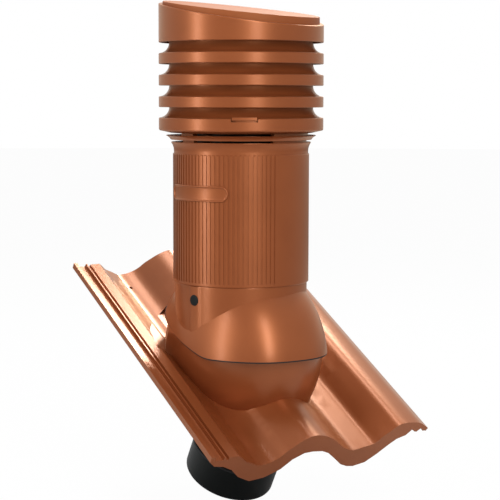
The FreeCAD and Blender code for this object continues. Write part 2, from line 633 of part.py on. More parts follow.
plate = plate.cut(Part.makeCylinder(2.6, 40.0, V(nail_x, nail_y, 110.0)))
screw_spots = []
for azimuth in (20.0, 90.0, 160.0, 200.0, 270.0, 340.0):
    a = math.radians(azimuth)
    screw_x = sump_x + (sump_half_x + 10) * math.cos(a)
    screw_spots.append(V(screw_x, sump_y + (sump_half_y + 11) * math.sin(a), 0))
for spot in screw_spots:
    plate = plate.cut(Part.makeCylinder(1.8, 8.0, spot + V(0, 0, S["flange_z"] - 2)))
plate = plate.removeSplitter()
tile = doc.addObject("Part::Feature", "tile_plate")
tile.Shape = plate
lay = FreeCAD.Placement(V(0, 0, 0), FreeCAD.Rotation(V(1, 0, 0), S["roof_pitch"]))
tile.Placement = lay
tile.setExpression("Placement.Rotation.Angle", "Sizes.roof_pitch")
nodes["tile_plate"] = tile

# Pivot pins, one each side, pressed into the bowl's bosses
pins = []
for side in (-1, 1):
    pin = cylinder("pivot_pin_%s" % ("left" if side < 0 else "right"), "Sizes.pin_radius", 17.0)
    start = V(S["pivot_x"] + side * 65.0, S["pivot_y"], S["pivot_z"])
    pin.Placement = FreeCAD.Placement(start, FreeCAD.Rotation(V(0, 0, 1), V(side, 0, 0)))
    pins.append(pin)
nodes["pivot_pins"] = doc.addObject("Part::Compound", "pivot_pins")
nodes["pivot_pins"].Links = pins

# Black duct adapter: an oval flange, an offset funnel and the round spigot
flange_low = S["flange_z"] - 5.0


def ring_wire(half_x, half_y, x, y, z):
    """A closed smooth oval, drawn from the same side each time so that two of them can be lofted."""
    spots = []
    for step in range(24):
        turn = math.radians(15.0 * step)
        spots.append(V(x + half_x * math.cos(turn), y + half_y * math.sin(turn), z))
    curve = Part.BSplineCurve()
    curve.interpolate(Points=spots, PeriodicFlag=True)
    return Part.Wire([curve.toShape()])


def funnel(radius, low_z, half_x, half_y, high_z):
    mouth = ring_wire(radius, radius, 0, 0, low_z)
    throat = ring_wire(half_x, half_y, sump_x, sump_y, high_z)
    solid = Part.makeLoft([mouth, throat], True, True)
    if solid.Volume < 0:
        solid.reverse()
    return solid


duct_r, duct_in = S["duct_radius"], S["duct_radius"] - S["duct_wall"]
cone_out = funnel(
    duct_r - 0.3, S["duct_top"] - 2.0, sump_half_x + 3, sump_half_y + 3, flange_low + 1.0)
cone_in = funnel(duct_in - 0.3, S["duct_top"] - 3.0, sump_half_x, sump_half_y, flange_low + 3.5)
adapter = oval_post(sump_half_x + 19.6, sump_half_y + 21.6, flange_low, 3.0, sump_x, sump_y)
adapter = adapter.fuse([cone_out, Part.makeCylinder(duct_r, S["duct_top"])])
adapter = adapter.fuse(Part.makeCylinder(duct_r + 1.2, 3.0, V(0, 0, 40.0)))
adapter = adapter.cut(cone_in).cut(Part.makeCylinder(duct_in, S["duct_top"] + 0.01, V(0, 0, -0.005)))
for spot in screw_spots:
    adapter = adapter.cut(Part.makeCylinder(1.8, 8.0, spot + V(0, 0, flange_low - 2)))
duct = doc.addObject("Part::Feature", "duct_adapter")
duct.Shape = adapter.removeSplitter()
duct.Placement = lay
duct.setExpression("Placement.Rotation.Angle", "Sizes.roof_pitch")
nodes["duct_adapter"] = duct

gasket_shape = oval_post(
    sump_half_x + 17.0, sump_half_y + 19.0, flange_low + 3.0, 2.0, sump_x, sump_y)
gasket_shape = gasket_shape.cut(
    oval_post(sump_half_x + 1, sump_half_y + 1, flange_low, 8.0, sump_x, sump_y))
for spot in screw_spots:
    gasket_shape = gasket_shape.cut(Part.makeCylinder(1.8, 12.0, spot + V(0, 0, flange_low - 2)))
gasket = doc.addObject("Part::Feature", "duct_gasket")
gasket.Shape = gasket_shape
gasket.Placement = lay
nodes["duct_gasket"] = gasket

screws = []
for number, spot in enumerate(screw_spots):
    shank = cylinder("adapter_shank_%d" % number, 1.8, 8.0, spot + V(0, 0, flange_low))
    head = cylinder("adapter_head_%d" % number, 3.6, 2.2, spot + V(0, 0, flange_low - 2.2))
    screws.append(fused("adapter_screw_%d" % number, [shank, head]))
screw_set = doc.addObject("Part::Compound", "adapter_screws")
screw_set.Links = screws
screw_set.Placement = lay
nodes["adapter_screws"] = screw_set

lip = doc.addObject("Part::Torus", "lip_bead")
lip.Radius1 = S["duct_radius"] + 0.9
lip.Radius2 = 1.5
lip.Placement = FreeCAD.Placement(V(0, 0, 44.6), FreeCAD.Rotation())
lip_core = cylinder("lip_core", "Sizes.duct_radius", 12.0, V(0, 0, 38.0))
spigot_lip = cut("spigot_lip_seal", lip, lip_core)
spigot_lip.Placement = lay
nodes["spigot_lip_seal"] = spigot_lip

doc.recompute()
for name, item in nodes.items():
    item.Label = name
    for state in item.State:
        if state in ("Invalid", "Error"):
            raise RuntimeError("%s is %s" % (name, state))
    shape = item.Shape
    if shape.isNull() or not shape.isValid():
        raise RuntimeError("%s has a bad shape" % name)
    print("%-20s %9.1f cm3 %d solids %s" % (
        name, shape.Volume / 1000, len(shape.Solids),
        [round(c, 1) for c in (shape.BoundBox.XMin, shape.BoundBox.YMin, shape.BoundBox.ZMin,
                               shape.BoundBox.XMax, shape.BoundBox.YMax, shape.BoundBox.ZMax)]))
    shape.exportStep("parts/%s.step" % name)
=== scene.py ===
# %% [markdown]
# # A roof tile vent, dressed for its picture
# The CAD model is the frame: every moulding is there, in metres, at its real size. This script
# gives each surface the finish of the real one. It also makes a few shells again, in the form that
# the picture shows: the dome and its plug, the hood and its lid. Then it sets up the studio and
# the camera. Read it from top to bottom, one cell at a time.

# %% Load the frame
import bpy
import bmesh
import math
from mathutils import Matrix, Vector


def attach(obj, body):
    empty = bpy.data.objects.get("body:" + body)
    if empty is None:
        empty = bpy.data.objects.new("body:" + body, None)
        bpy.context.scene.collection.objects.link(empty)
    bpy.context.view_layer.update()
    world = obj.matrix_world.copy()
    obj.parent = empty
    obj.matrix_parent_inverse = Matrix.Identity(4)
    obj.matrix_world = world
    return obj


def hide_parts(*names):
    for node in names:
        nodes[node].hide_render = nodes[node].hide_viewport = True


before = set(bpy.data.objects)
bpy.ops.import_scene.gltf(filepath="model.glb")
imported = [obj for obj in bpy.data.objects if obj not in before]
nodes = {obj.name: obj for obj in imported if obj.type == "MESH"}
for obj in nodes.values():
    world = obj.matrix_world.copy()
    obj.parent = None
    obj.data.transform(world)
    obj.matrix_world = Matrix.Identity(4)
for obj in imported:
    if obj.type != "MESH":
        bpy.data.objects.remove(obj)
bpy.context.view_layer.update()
print("nodes in the frame:", len(nodes))

# %% [markdown]
# ## Places that the pieces share
# The pipe stands upright, a little towards the eave from the duct's mouth, which is the origin.
# Azimuths are counted round the pipe from the eave side (-Y) towards +X, so a thing that goes
# round the pipe, such as a plate, is placed by one angle and one height.

# %% Places on the pipe
PIPE_AXIS = Vector((0.0, -0.0273, 0.0))
SLEEVE_RADIUS = 0.0894


def on_pipe(radius, azimuth_deg, height):
    """A point on a cylinder about the pipe's axis."""
    turn = math.radians(azimuth_deg)
    return PIPE_AXIS + Vector((radius * math.sin(turn), -radius * math.cos(turn), height))


print("eave side of the sleeve:", [round(v, 4) for v in on_pipe(SLEEVE_RADIUS, 0, 0.3)])

# %% [markdown]
# ## Three helpers for the finishes
# Colours are written as they look on a screen, in sRGB, and shaders want them linear. And because
# a procedural finish is mostly nodes, one small function adds a node with its settings and links,
# and another starts a material with an empty tree for them.

# %% Colour and node helpers


def to_linear(hex_colour):
    """An sRGB hex colour as the linear numbers that shaders use, by the curve that defines sRGB."""
    parts = [int(hex_colour[i:i + 2], 16) / 255 for i in (1, 3, 5)]
    return tuple(p / 12.92 if p <= 0.04045 else ((p + 0.055) / 1.055) ** 2.4 for p in parts) + (1.0,)


def add_node(tree, kind, settings=None, links=None):
    """Adds a shader node. settings holds properties and socket values, links what feeds its sockets."""
    node = tree.nodes.new(kind)
    for name, value in (settings or {}).items():
        if isinstance(name, int) or name in node.inputs:
            node.inputs[name].default_value = value
        else:
            setattr(node, name, value)
    for name, source in (links or {}).items():
        tree.links.new(source, node.inputs[name])
    return node


def empty_material(name):
    """A material with no nodes yet, and its tree."""
    material = bpy.data.materials.new(name)
    material.use_nodes = True
    material.node_tree.nodes.clear()
    return material, material.node_tree


print("middle grey in linear light:", [round(v, 3) for v in to_linear("#808080")])

# %% [markdown]
# ## The finish of the mouldings: copper-brown ABS with flake
# Tile, dome, sleeve and cap are injection-moulded ABS. The resin is coloured through, and holds
# fine mica flake, so the light comes back tinted and in one broad soft band, as from brushed
# copper, and goes almost cream where a lamp faces it. Real copper would need sharp reflections,
# and plain paint would have none of the tint in its highlights, so the shader is a plastic that is
# part metallic, and what glances off it is tinted too.
#
# The mould's skin is satin: spark-eroded steel leaves a fine grain, and a thin gloss lies over it,
# more on the tile than on the pipe. The lid has none, and is rougher: it hardly shines in the
# picture, although it faces the sky. The slow mottle in the tone is what flake does where the
# melt fronts met.

# %% Copper-brown ABS
MM_PER_M = 1000
GRAIN_MM = 0.8      # spark grain is about 0.1 mm; drawn coarser, or it would not show at this size
MOTTLE_MM = 55.0    # melt-front clouds on a moulding this large
WAVE_MM = 90.0      # the slight unevenness that every large moulded wall has
ABS_DEEP, ABS_LIT = to_linear("#7F3F20"), to_linear("#8A4725")
FLAKE_TINT = (1.0, 0.84, 0.48, 1.0)
GLOSS_ROUGHNESS = 0.22
SHEEN_SWING = 0.04                              # how far the mottle moves the roughness
BUMP_STRENGTH = 0.06
WAVE_DEPTH, GRAIN_DEPTH = 0.0006, 0.0001        # metres


def flake_abs(name, roughness, metallic, gloss):
    """Moulded ABS with flake in it. gloss is the share of the thin clear layer over it."""
    material, tree = empty_material(name)
    where = add_node(tree, "ShaderNodeTexCoord").outputs["Object"]
    mottle = add_node(tree, "ShaderNodeTexNoise", {"Scale": MM_PER_M / MOTTLE_MM, "Detail": 3.0},
                      {"Vector": where})
    grain = add_node(tree, "ShaderNodeTexNoise", {"Scale": MM_PER_M / GRAIN_MM, "Detail": 2.0},
                     {"Vector": where})
    unevenness = add_node(tree, "ShaderNodeTexNoise", {"Scale": MM_PER_M / WAVE_MM, "Detail": 1.0},
                          {"Vector": where})
    tone = add_node(tree, "ShaderNodeMix", {"data_type": "RGBA", 6: ABS_DEEP, 7: ABS_LIT},
                    {0: mottle.outputs["Fac"]})
    sheen = add_node(tree, "ShaderNodeMapRange",
                     {"To Min": roughness - SHEEN_SWING, "To Max": roughness + SHEEN_SWING},
                     {"Value": mottle.outputs["Fac"]})
    soft_wave = add_node(tree, "ShaderNodeBump", {"Strength": BUMP_STRENGTH, "Distance": WAVE_DEPTH},
                         {"Height": unevenness.outputs["Fac"]})
    fine_grain = add_node(tree, "ShaderNodeBump", {"Strength": BUMP_STRENGTH, "Distance": GRAIN_DEPTH},
                          {"Height": grain.outputs["Fac"], "Normal": soft_wave.outputs["Normal"]})
    skin = add_node(tree, "ShaderNodeBsdfPrincipled",
                    {"Metallic": metallic, "Specular IOR Level": 0.5, "Specular Tint": FLAKE_TINT,
                     "Coat Weight": gloss, "Coat Roughness": GLOSS_ROUGHNESS},
                    {"Base Color": tone.outputs[2], "Roughness": sheen.outputs["Result"],
                     "Normal": fine_grain.outputs["Normal"]})
    add_node(tree, "ShaderNodeOutputMaterial", None, {"Surface": skin.outputs["BSDF"]})
    print("made", name)
    return material


tile_abs = flake_abs("copper_brown_abs_tile", roughness=0.33, metallic=0.36, gloss=0.22)
pipe_abs = flake_abs("copper_brown_abs_pipe", roughness=0.36, metallic=0.37, gloss=0.10)
lid_abs = flake_abs("copper_brown_abs_lid", roughness=0.60, metallic=0.15, gloss=0.0)

# %% [markdown]
# ## Black polypropylene, rubber, foam and zinc
# The duct adapter under the tile is black polypropylene, waxy and a little duller than ABS. The
# gasket and lip seal are EPDM rubber, nearly matt. The insulation round the inner pipe is
# closed-cell foam with fine pores, and the screws and pins are zinc-plated steel. They need the
# same few steps, a fine grain that moves both tone and height, so one function serves them all.
# Moulded grain is about 0.1 mm, the foam's pores are about 0.5 mm and the clouds in a zinc plating
# about 1 mm. All are drawn coarser, or they would not show at this size.

# %% The other finishes
GRAIN_SWING = 0.05      # how far the grain moves the roughness
RELIEF_DEPTH = 0.0003   # metres


def grained_finish(name, dark, light, roughness, grain_mm, relief, metallic=0.0, specular=0.25):
    """A plain finish whose grain shows in its tone, its sheen and its relief."""
    material, tree = empty_material(name)
    place = add_node(tree, "ShaderNodeTexCoord")
    grain = add_node(tree, "ShaderNodeTexNoise", {"Scale": MM_PER_M / grain_mm, "Detail": 4.0},
                     {"Vector": place.outputs["Object"]})
    tone = add_node(tree, "ShaderNodeMix", {"data_type": "RGBA", 6: to_linear(dark), 7: to_linear(light)},
                    {0: grain.outputs["Fac"]})
    sheen = add_node(tree, "ShaderNodeMapRange",
                     {"To Min": roughness - GRAIN_SWING, "To Max": roughness + GRAIN_SWING},
                     {"Value": grain.outputs["Fac"]})
    bump = add_node(tree, "ShaderNodeBump", {"Strength": relief, "Distance": RELIEF_DEPTH},
                    {"Height": grain.outputs["Fac"]})
    skin = add_node(tree, "ShaderNodeBsdfPrincipled",
                    {"Metallic": metallic, "Specular IOR Level": specular},
                    {"Base Color": tone.outputs[2], "Roughness": sheen.outputs["Result"],
                     "Normal": bump.outputs["Normal"]})
    add_node(tree, "ShaderNodeOutputMaterial", None, {"Surface": skin.outputs["BSDF"]})
    print("made", name)
    return material


black_polypropylene = grained_finish("black_polypropylene", "#090B0B", "#121514",
                                     roughness=0.45, grain_mm=1.2, relief=0.12, specular=0.12)
epdm_rubber = grained_finish("epdm_rubber", "#141414", "#1D1D1E",
                             roughness=0.72, grain_mm=0.8, relief=0.2)
closed_cell_foam = grained_finish("closed_cell_foam", "#7C7E80", "#96989A",
                                  roughness=0.85, grain_mm=1.5, relief=0.5)
zinc_plate = grained_finish("zinc_plated_steel", "#A9ABAD", "#BFC1C3",
                            roughness=0.32, grain_mm=2.0, relief=0.05, metallic=1.0)

# %% [markdown]
# ## Dressing the frame
# Each node keeps its CAD shape and takes the finish of what it is made of on the real vent. The
# five that later cells make again are dressed as well, so the frame is complete at this point.

# %% Assign the finishes
finish_of = {
    tile_abs: ["tile_plate"],
    pipe_abs: ["tilt_dome", "outer_sleeve", "slotted_collar", "cap_base_ring", "latch_tab",
               "louvre_ring_1", "louvre_ring_2", "louvre_ring_3", "cap_hood", "cap_lid"],
    black_polypropylene: ["cap_core", "rain_deflector", "insect_guard", "inner_pipe", "locking_plug",
                          "duct_adapter"],
    closed_cell_foam: ["insulation_sleeve"],
    epdm_rubber: ["duct_gasket", "spigot_lip_seal"],
    zinc_plate: ["adapter_screws", "lid_screws", "pivot_pins"],
}
for finish, names in finish_of.items():
    for name in names:
        piece = nodes[name]
        piece.data.materials.clear()
        piece.data.materials.append(finish)
        print(name, "->", finish.name)

# %% [markdown]
# ## Three helpers for shells
# Every moulded shell here is a stack of rows of points with faces between them, like the hoops of
# a basket. Blender's bmesh module adds points and faces one by one, so a row can follow any
# formula, and nothing has to be cut afterwards. One function bridges the rows, one finishes the
# shell, and one adds an object of any kind to the scene. A moulding has smooth walls and crisp
# rims, so every face is shaded smooth, and an edge stays sharp where its two faces turn by more
# than 30 degrees.

# %% Shell helpers
CREASE = 30.0           # degrees
SAME_PLACE = 1e-6       # points closer than this, in metres, become one


def add_object(name, data):
    """An object that shows a mesh, a lamp or a camera, linked into the scene."""
    made = bpy.data.objects.new(name, data)
    bpy.context.collection.objects.link(made)
    return made


def bridge(shape, rows, closed=False):
    """Adds rows of points of equal length and the faces between them. Returns the rows of vertices."""
    made = [[shape.verts.new(point) for point in row] for row in rows]
    count = len(made[0])
    for one, two in zip(made[:-1], made[1:]):
        for j in range(count if closed else count - 1):
            k = (j + 1) % count
            shape.faces.new((one[j], one[k], two[k], two[j]))
    return made


def finish_shell(name, shape, finish, crease=CREASE):
    """Turns a shape into a piece of the upright side, with its finish and material slot."""
    bmesh.ops.remove_doubles(shape, verts=shape.verts, dist=SAME_PLACE)
    bmesh.ops.recalc_face_normals(shape, faces=shape.faces)
    for face in shape.faces:
        face.smooth = True
    for edge in shape.edges:
        edge.smooth = edge.calc_face_angle(0.0) < math.radians(crease)
    mesh = bpy.data.meshes.new(name)
    shape.to_mesh(mesh)
    shape.free()
    mesh.materials.append(finish)
    piece = add_object(name, mesh)
    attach(piece, "upright_side")
    print(name, "faces:", len(mesh.polygons))
    return piece


print("edges stay sharp over", CREASE, "degrees")

# %% [markdown]
# ## The bare plate on the sleeve
# On the left of the sleeve sits a long moulded plate with round ends and a raised rim, wrapped
# round the pipe over the flutes. It is left bare. It could be cut from a bent strip with a
# modifier, but working in two numbers, along and up, and then laying each point on the cylinder
# keeps its ends truly round and its rim even all the way.

# %% Wrapped plate
PLATE_AZIMUTH, PLATE_HEIGHT = -75.0, 0.3812
PLATE_LENGTH, PLATE_WIDTH = 0.0998, 0.0205
PLATE_PROFILE = [       # inset from the edge, rise above the sleeve
    (0.0, -0.0009), (0.0, 0.0009), (0.0003, 0.0014), (0.0009, 0.0017), (0.0016, 0.0017),
    (0.0021, 0.0013), (0.0025, 0.0006), (0.0031, 0.0005), (0.0090, 0.0005)]
ROUND_STEPS, STRAIGHT_STEPS = 10, 24
ALL_SMOOTH = 180.0      # its rim is round, so no edge of it is a crease


def oblong_stations(length, width):
    """Pairs of along and half-height from tip to tip of an oblong with round ends."""
    end = width / 2
    straight = length / 2 - end
    turns = [math.pi / 2 * i / ROUND_STEPS for i in range(ROUND_STEPS)]
    left = [(-straight - end * math.cos(turn), end * math.sin(turn)) for turn in turns]
    middle = [(-straight + 2 * straight * i / STRAIGHT_STEPS, end) for i in range(STRAIGHT_STEPS + 1)]
    right = [(-along, half) for along, half in reversed(left)]
    return left + middle + right


def plate_loop(inset, rise):
    """A loop round the plate, laid on the sleeve."""
    upper = oblong_stations(PLATE_LENGTH - 2 * inset, PLATE_WIDTH - 2 * inset)
    lower = [(along, -half) for along, half in reversed(upper[1:-1])]
    return [on_pipe(SLEEVE_RADIUS + rise, PLATE_AZIMUTH + math.degrees(along / SLEEVE_RADIUS),
                    PLATE_HEIGHT + up) for along, up in upper + lower]


plate = bmesh.new()
plate_loops = bridge(plate, [plate_loop(inset, rise) for inset, rise in PLATE_PROFILE], closed=True)
middle_loop = plate_loops[-1]
count = len(middle_loop)
for i in range(count // 2):
    corners = (middle_loop[i], middle_loop[i + 1], middle_loop[(-i - 1) % count], middle_loop[-i % count])
    plate.faces.new(dict.fromkeys(corners))
bare_plate = finish_shell("bare_plate", plate, pipe_abs, ALL_SMOOTH)

# %% [markdown]
# ## The dome's outline
# The dome is a drum with rounded ends that lies across the slope, its own axis close to the tilt
# axis. Its rim runs level in front, then climbs with the roof behind. A solid cut by boolean
# modifiers would do, but it has ragged shading along the cuts. Two short formulas, one for the
# drum and one for the rim, let every row of the skin start and end exactly on the rim, so its
# edge is clean and the light runs smoothly.

# %% Drum and rim
DOME_CENTRE = Vector((0.0067, -0.0180, 0.1570))
DOME_HALF_WIDTH, DOME_RADIUS, DOME_WALL = 0.0998, 0.1329, 0.0018
WIDTH_POWER, RADIUS_POWER = 2.48, 1.93      # 2 and 2 would round the ends as an ellipse
RIM_LEVEL, RIM_KNEE, RIM_CLIMB, RIM_ROUND = 0.1713, -0.0720, math.radians(18.8), 0.070
BEND_START = RIM_KNEE - RIM_ROUND * math.tan(RIM_CLIMB / 2)
BEND_END = RIM_KNEE + RIM_ROUND * math.tan(RIM_CLIMB / 2) * math.cos(RIM_CLIMB)
SEAT_LEVEL = 0.2620                         # the sleeve stands on this level
HIGHEST = math.pi / 2 + RIM_CLIMB           # the turn at which the drum is furthest over its rim
FRONT_SWEEP, BACK_SWEEP = math.radians(100), math.radians(130)      # far enough to pass the rim
HALVINGS = 40
COLUMNS, STEPS = 72, 96


def drum_radius(x, inset):
    """The drum's radius about its own axis, for a skin that lies inset under the outer one."""
    share = abs(x - DOME_CENTRE.x) / (DOME_HALF_WIDTH - inset)
    return (DOME_RADIUS - inset) * max(1 - share ** WIDTH_POWER, 0.0) ** (1 / RADIUS_POWER)


def on_drum(x, turn, inset):
    """A point of the drum's skin. Its turn is counted from the ridge side upwards."""
    radius = drum_radius(x, inset)
    return Vector((x, DOME_CENTRE.y + radius * math.cos(turn), DOME_CENTRE.z + radius * math.sin(turn)))


def over_rim(point):
    """Whether a point lies over the rim line: level, then a round bend, then the climb."""
    if point.y <= BEND_START:
        rim = RIM_LEVEL
    elif point.y < BEND_END:
        rim = RIM_LEVEL + RIM_ROUND - math.sqrt(RIM_ROUND ** 2 - (point.y - BEND_START) ** 2)
    else:
        rim = RIM_LEVEL + (point.y - RIM_KNEE) * math.tan(RIM_CLIMB)
    return point.z - rim > 0


def crossing(inside, outside, test):
    """Halves the way between a value that passes the test and one that fails, until they meet."""
    for _ in range(HALVINGS):
        middle = (inside + outside) / 2
        if test(middle):
            inside = middle
        else:
            outside = middle
    return inside


def drum_rows(inset):
    """Rows of points over the drum, each from the rim in front to the rim behind."""
    left, right = [crossing(DOME_CENTRE.x, DOME_CENTRE.x + side * (DOME_HALF_WIDTH - inset),
                            lambda x: over_rim(on_drum(x, HIGHEST, inset))) for side in (-1, 1)]
    rows = []
    for i in range(COLUMNS + 1):
        x = (left + right) / 2 - (right - left) / 2 * math.cos(math.pi * i / COLUMNS)
        front = crossing(HIGHEST, HIGHEST + FRONT_SWEEP, lambda turn: over_rim(on_drum(x, turn, inset)))
        back = crossing(HIGHEST, HIGHEST - BACK_SWEEP, lambda turn: over_rim(on_drum(x, turn, inset)))
        rows.append([on_drum(x, front + (back - front) * j / STEPS, inset) for j in range(STEPS + 1)])
    return rows


outer_rows, inner_rows = drum_rows(0.0), drum_rows(DOME_WALL)
print("dome reaches x", round(outer_rows[0][0].x, 4), "to", round(outer_rows[-1][0].x, 4))

# %% [markdown]
# ## The dome's skin
# The two skins meet along the rim. Under the neck they are open, for the air in the pipe. The
# faces inside that hole go, and the points left on its edge move onto a true circle, which lies
# inside the neck's wall and so stays hidden.

# %% Dome skins
HOLE_RADIUS = 0.0856
HOLE_ABOVE = 0.19       # only the drum's top is opened, and nothing under this level
dome = bmesh.new()


def from_axis(point):
    """How far a point lies from the pipe's axis."""
    return math.hypot(point.x - PIPE_AXIS.x, point.y - PIPE_AXIS.y)


def drum_top(x, y, inset):
    """Height of the drum's skin over a place, flat where the sleeve stands on it."""
    across = drum_radius(x, inset) ** 2 - (y - DOME_CENTRE.y) ** 2
    return min(DOME_CENTRE.z + math.sqrt(max(across, 0.0)), SEAT_LEVEL - inset)


def open_skin(rows, inset):
    """Adds a skin with the round hole under the neck."""
    corners = {corner for row in bridge(dome, rows) for corner in row}
    inside = {corner for corner in corners
              if from_axis(corner.co) < HOLE_RADIUS and corner.co.z > HOLE_ABOVE}
    gone = [face for face in dome.faces if all(corner in inside for corner in face.verts)]
    bmesh.ops.delete(dome, geom=gone, context="FACES")
    for corner in corners:
        if not corner.is_valid:
            continue
        if corner in inside:
            away = Vector((corner.co.x - PIPE_AXIS.x, corner.co.y - PIPE_AXIS.y)).normalized() * HOLE_RADIUS
            x, y = PIPE_AXIS.x + away.x, PIPE_AXIS.y + away.y
            corner.co = Vector((x, y, drum_top(x, y, inset)))
        else:
            corner.co.z = min(corner.co.z, SEAT_LEVEL - inset)


def rim_points(rows):
    """Both ends of every row, as one loop round the rim."""
    return [row[0] for row in rows] + [row[-1] for row in reversed(rows[1:-1])]


open_skin(outer_rows, 0.0)
open_skin(inner_rows, DOME_WALL)
rim_loop, inner_loop = rim_points(outer_rows), rim_points(inner_rows)
bridge(dome, [rim_loop, inner_loop], closed=True)
print("rim points:", len(rim_loop))

# %% [markdown]
# ## The neck and what it carries
# The neck is a tube whose lower edge follows the dome, so that a crisp line shows where the two
# run into each other. A low pad on its left holds the plug. Above it stands the spigot that the
# sleeve goes over, and inside it a flat ring, from which two ears hang down to the tilt axis. The
# neck and the ring are lathe shapes, so each is a list of radius and height for its rows, and the
# pad lifts the neck's rows a little on one side.

# %% Neck, ring and ears
AROUND = 360            # points in a row
NECK_OUTER, NECK_INNER, NECK_ROUND = 0.0871, 0.0841, 0.0003
NECK_SINK = 0.0010      # the lower edge lies this deep, about halfway into the dome's wall
NECK_FLAT, NECK_EDGE = 0.2600, 0.2612   # a row that keeps the wall flat, and where its edge rounds off
PAD_AZIMUTH, PAD_HALF_WIDTH, PAD_RISE, PAD_SLOPE = -76.0, 0.0085, 0.0006, 0.003
SPIGOT_OUTER, SPIGOT_TOP = 0.0859, 0.3000
RING_INNER, RING_OUTER, RING_UNDER = 0.0628, 0.0845, 0.2560
AXIS_X, AXIS_Y, AXIS_Z = 0.0061, -0.0235, 0.1641        # a point on the tilt axis, between the ears
EAR_OFFSET, EAR_WALL, EAR_RADIUS, EAR_REACH, EAR_STEPS = 0.068, 0.004, 0.012, 0.0925, 16
FOLLOW = None           # in place of a height: the row follows the dome

NECK_PROFILE = [        # radius, height and the pad's rise
    (NECK_INNER, FOLLOW, 0.0), (NECK_OUTER, FOLLOW, PAD_RISE), (NECK_OUTER, NECK_FLAT, PAD_RISE),
    (NECK_OUTER, NECK_EDGE, PAD_RISE), (NECK_OUTER - NECK_ROUND, SEAT_LEVEL, 0.0),
    (SPIGOT_OUTER, SEAT_LEVEL, 0.0), (SPIGOT_OUTER, SPIGOT_TOP, 0.0), (NECK_INNER, SPIGOT_TOP, 0.0),
    (NECK_INNER, SEAT_LEVEL, 0.0)]
RING_PROFILE = [
    (RING_INNER, RING_UNDER, 0.0), (RING_OUTER, RING_UNDER, 0.0), (RING_OUTER, SEAT_LEVEL, 0.0),
    (RING_INNER, SEAT_LEVEL, 0.0), (RING_INNER, RING_UNDER, 0.0)]


def neck_row(radius, height, pad):
    """A level row of points, or one that follows the dome, with the pad raised on its left."""
    row = []
    for i in range(AROUND):
        azimuth = 360 * i / AROUND
        along = abs((azimuth - PAD_AZIMUTH + 180) % 360 - 180) * math.radians(1) * radius
        raised = pad * min(max((PAD_HALF_WIDTH + PAD_SLOPE / 2 - along) / PAD_SLOPE, 0.0), 1.0)
        point = on_pipe(radius + raised, azimuth, 0.0)
        point.z = drum_top(point.x, point.y, 0.0) - NECK_SINK if height is FOLLOW else height
        row.append(point)
    return row


for profile in (NECK_PROFILE, RING_PROFILE):
    bridge(dome, [neck_row(*place) for place in profile], closed=True)
ear_turns = [math.pi * i / EAR_STEPS for i in range(EAR_STEPS + 1)]
ear_outline = [(EAR_RADIUS * math.cos(turn), -EAR_RADIUS * math.sin(turn)) for turn in ear_turns]
ear_outline += [(-EAR_RADIUS, EAR_REACH), (EAR_RADIUS, EAR_REACH)]
for side in (-1, 1):
    ear_x = AXIS_X + side * EAR_OFFSET
    ear_rows = bridge(dome, [[Vector((x, AXIS_Y + y, AXIS_Z + z)) for y, z in ear_outline]
                             for x in (ear_x - EAR_WALL / 2, ear_x + EAR_WALL / 2)], closed=True)
    dome.faces.new(ear_rows[0])
    dome.faces.new(list(reversed(ear_rows[1])))
dome_shell = finish_shell("dome_shell", dome, pipe_abs)
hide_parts("tilt_dome")

# %% [markdown]
# ## The painted shade under the rim
# Between the dome and its bowl runs a thin black line, which is shade in the gap under the rim. It is
# painted as a black band in the rubber finish that hangs just inside the rim: a band with four long sides,
# swept round the rim's own points.
# It hangs lower in front, where the line of shade looks widest, than behind.

# %% Rim lip: a black band of painted shade
LIP_NEAR, LIP_FAR = 0.0004, 0.0016          # how far inside the rim its two walls lie
LIP_TOP = 0.0020
LIP_HANG, LIP_MORE = 0.0005, 0.0012         # how far it hangs behind, and how much more in front
MORE_FROM, MORE_OVER = 0.02, 0.10           # more comes in from this y towards the eave, over this length

lip = bmesh.new()
lip_sides = []
for inward, at_top in ((LIP_NEAR, True), (LIP_NEAR, False), (LIP_FAR, False), (LIP_FAR, True)):
    lip_side = []
    for outer in rim_loop:
        hang = LIP_HANG + LIP_MORE * min(max((MORE_FROM - outer.y) / MORE_OVER, 0.0), 1.0)
        inwards = (Vector((PIPE_AXIS.x, PIPE_AXIS.y, outer.z)) - outer).normalized()
        lip_side.append(outer + inwards * inward + Vector((0, 0, LIP_TOP if at_top else -hang)))
    lip_sides.append(lip_side)
bridge(lip, lip_sides + lip_sides[:1], closed=True)
# a black band of painted shade in the gap under the rim
rim_shade_lip = finish_shell("rim_shade_lip", lip, epdm_rubber)

# %% [markdown]
# ## The plug
# A plain black plug with a slightly rounded edge closes the locking hole in the neck's pad. It is
# a lathe shape again, this time about its own axis, which points out of the neck.

# %% Plug
PLUG_HEIGHT, PLUG_POINTS = 0.2434, 48
PLUG_PROFILE = [        # radius, distance from the pipe's axis
    (0.0068, 0.0791), (0.0071, 0.0800), (0.0071, 0.0879), (0.0068, 0.0883), (0.0060, 0.0885),
    (0.0001, 0.0885)]
plug_out = (on_pipe(1.0, PAD_AZIMUTH, 0.0) - PIPE_AXIS).normalized()
plug_across = Vector((0, 0, 1)).cross(plug_out)

plug = bmesh.new()
plug_rings = []
for radius, along in PLUG_PROFILE:
    ring = []
    for i in range(PLUG_POINTS):
        turn = math.tau * i / PLUG_POINTS
        ring.append(PIPE_AXIS + Vector((0, 0, PLUG_HEIGHT)) + plug_out * along
                    + plug_across * radius * math.cos(turn) + Vector((0, 0, radius * math.sin(turn))))
    plug_rings.append(ring)
plug.faces.new(bridge(plug, plug_rings, closed=True)[0])
neck_plug = finish_shell("neck_plug", plug, black_polypropylene)
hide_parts("locking_plug")

# %% [markdown]
# ## The slanted hood and lid
# The cap's hood ends in a slanted top with a low lid on it, and the picture shows both a little
# lower than the frame does. Both are lathe shapes whose upper rings lie on a slanted plane, so
# rings of points, each level or on one of two slants, make them without any cutting. A ring just
# before each edge keeps the shading flat right up to it.

